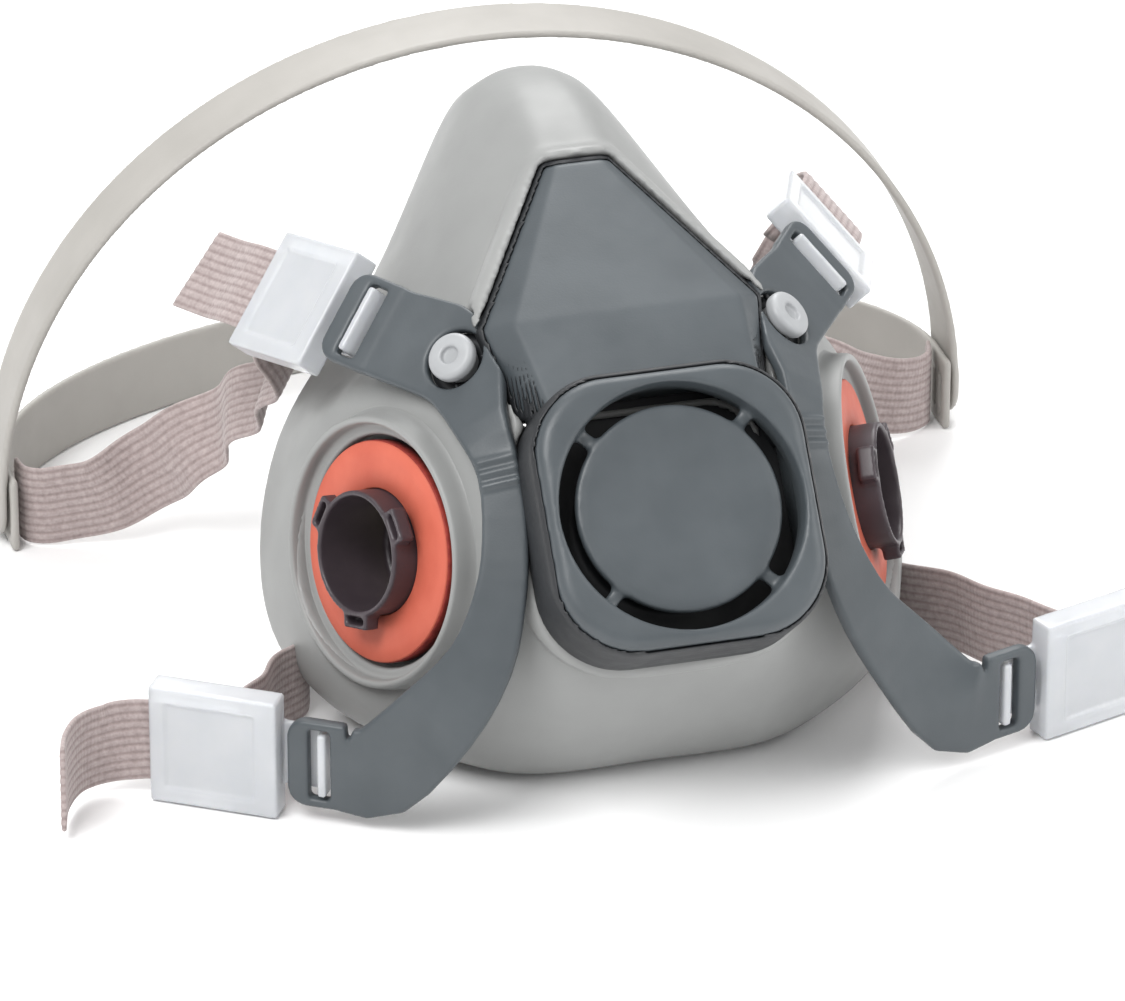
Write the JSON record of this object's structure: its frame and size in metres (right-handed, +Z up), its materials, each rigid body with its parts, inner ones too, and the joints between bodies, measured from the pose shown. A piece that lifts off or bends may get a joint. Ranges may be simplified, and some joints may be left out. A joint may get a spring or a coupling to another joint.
{
  "type": "respirator",
  "caption": "Reusable half-face respirator laid on its chin: soft face seal, bayonet filter ports, front exhalation outlet, yokes with strap buckles, elastic webbing and a head cradle.",
  "frame": {"origin": "middle of the bounding box, on the table", "axes": "+X to the right of the mask seen from the front, +Y back towards the harness, +Z up"},
  "size_m": [0.2218, 0.2062, 0.1039],
  "materials": {
    "soft_elastomer": "moulded satin",
    "dark_plastic": "fine moulded grain",
    "black_plastic": "moulded",
    "gasket_rubber": "textured",
    "flap_silicone": "thin, waxy",
    "clear_plastic": "translucent moulded",
    "elastic_webbing": "ribbed knit",
    "cradle_plastic": "moulded satin"
  },
  "bodies": {
    "mask": {"face_seal": "soft_elastomer", "centre_body": "dark_plastic", "front_cowl": "dark_plastic", "port_left": "black_plastic", "lock_ring_left": "black_plastic", "gasket_left": "gasket_rubber", "yoke_left": "dark_plastic", "stud_left": "soft_elastomer", "webbing_upper_left": "elastic_webbing", "webbing_lower_left": "elastic_webbing", "port_right": "black_plastic", "lock_ring_right": "black_plastic", "gasket_right": "gasket_rubber", "yoke_right": "dark_plastic", "stud_right": "soft_elastomer", "webbing_upper_right": "elastic_webbing", "webbing_lower_right": "elastic_webbing", "rear_band": "cradle_plastic", "neck_loop": "clear_plastic"},
    "exhalation_valve": {"exhalation_flap": "flap_silicone"},
    "inhalation_valve_left": {"inhalation_flap_left": "flap_silicone"},
    "buckle_upper_left": {"buckle_upper_left": "clear_plastic", "webbing_tail_upper_left": "elastic_webbing"},
    "buckle_lower_left": {"buckle_lower_left": "clear_plastic", "webbing_tail_lower_left": "elastic_webbing"},
    "inhalation_valve_right": {"inhalation_flap_right": "flap_silicone"},
    "buckle_upper_right": {"buckle_upper_right": "clear_plastic", "webbing_tail_upper_right": "elastic_webbing"},
    "buckle_lower_right": {"buckle_lower_right": "clear_plastic", "webbing_tail_lower_right": "elastic_webbing"},
    "crown": {"crown_band": "cradle_plastic"},
    "hook": {"neck_hook": "clear_plastic"}
  },
  "joints": [
    {"name": "exhalation_flap_lift", "type": "slide", "parent": "mask", "child": "exhalation_valve", "axis": [0, -0.7771, 0.6293], "range_m": [0, 0.0016], "stiffness_N_per_m": 60},
    {"name": "inhalation_flap_lift_left", "type": "slide", "parent": "mask", "child": "inhalation_valve_left", "axis": [0.9048, 0.3571, -0.2319], "range_m": [0, 0.0015], "stiffness_N_per_m": 40},
    {"name": "buckle_upper_left_swing", "type": "hinge", "parent": "mask", "child": "buckle_upper_left", "pos_m": [-0.04656, -0.02329, 0.0748], "axis": [0.5854, 0.3776, 0.7174], "range_deg": [0, 20]},
    {"name": "buckle_lower_left_swing", "type": "hinge", "parent": "mask", "child": "buckle_lower_left", "pos_m": [-0.06874, -0.06666, 0.0119], "axis": [0, 0, 1], "range_deg": [0, 20]},
    {"name": "inhalation_flap_lift_right", "type": "slide", "parent": "mask", "child": "inhalation_valve_right", "axis": [-0.9048, 0.3571, -0.2319], "range_m": [0, 0.0015], "stiffness_N_per_m": 40},
    {"name": "buckle_upper_right_swing", "type": "hinge", "parent": "mask", "child": "buckle_upper_right", "pos_m": [0.0412, -0.02329, 0.0748], "axis": [0.5854, -0.3776, -0.7174], "range_deg": [0, 20]},
    {"name": "buckle_lower_right_swing", "type": "hinge", "parent": "mask", "child": "buckle_lower_right", "pos_m": [0.06638, -0.07618, 0.0119], "axis": [0, 0, -1], "range_deg": [0, 20]},
    {"name": "crown_fold", "type": "hinge", "parent": "mask", "child": "crown", "pos_m": [-0.00268, 0.05028, 0.008], "axis": [1, 0, 0], "range_deg": [-70, 0]},
    {"name": "neck_hook_release", "type": "slide", "parent": "mask", "child": "hook", "axis": [-1, 0, 0], "range_m": [0, 0.0035]}
  ]
}
